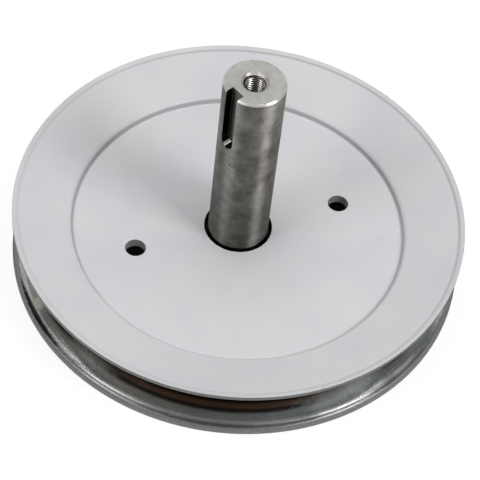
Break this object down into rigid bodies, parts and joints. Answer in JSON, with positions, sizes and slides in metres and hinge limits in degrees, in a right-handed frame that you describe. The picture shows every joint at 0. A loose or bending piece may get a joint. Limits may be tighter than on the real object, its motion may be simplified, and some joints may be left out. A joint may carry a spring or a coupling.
{
  "type": "mower deck pulley",
  "caption": "Pressed steel V-belt pulley made of half sheaves back to back, welded to a keyed steel shaft with a tapped end.",
  "frame": {"origin": "on the shaft's axis, in the plane that the lower rim stands on", "axes": "+Z along the shaft towards its free end, -Y towards the keyway"},
  "size_m": [0.1905, 0.1904, 0.1043],
  "materials": {
    "silver_paint": "matt silver-grey paint",
    "bare_sheet_steel": "bare rolled sheet, bright in the groove",
    "ground_shaft_steel": "turned and ground",
    "weld_steel": "as welded"
  },
  "bodies": {
    "root": {"upper_sheave": "silver_paint", "lower_sheave": "bare_sheet_steel", "shaft": "ground_shaft_steel", "hub_weld": "weld_steel"}
  },
  "joints": []
}
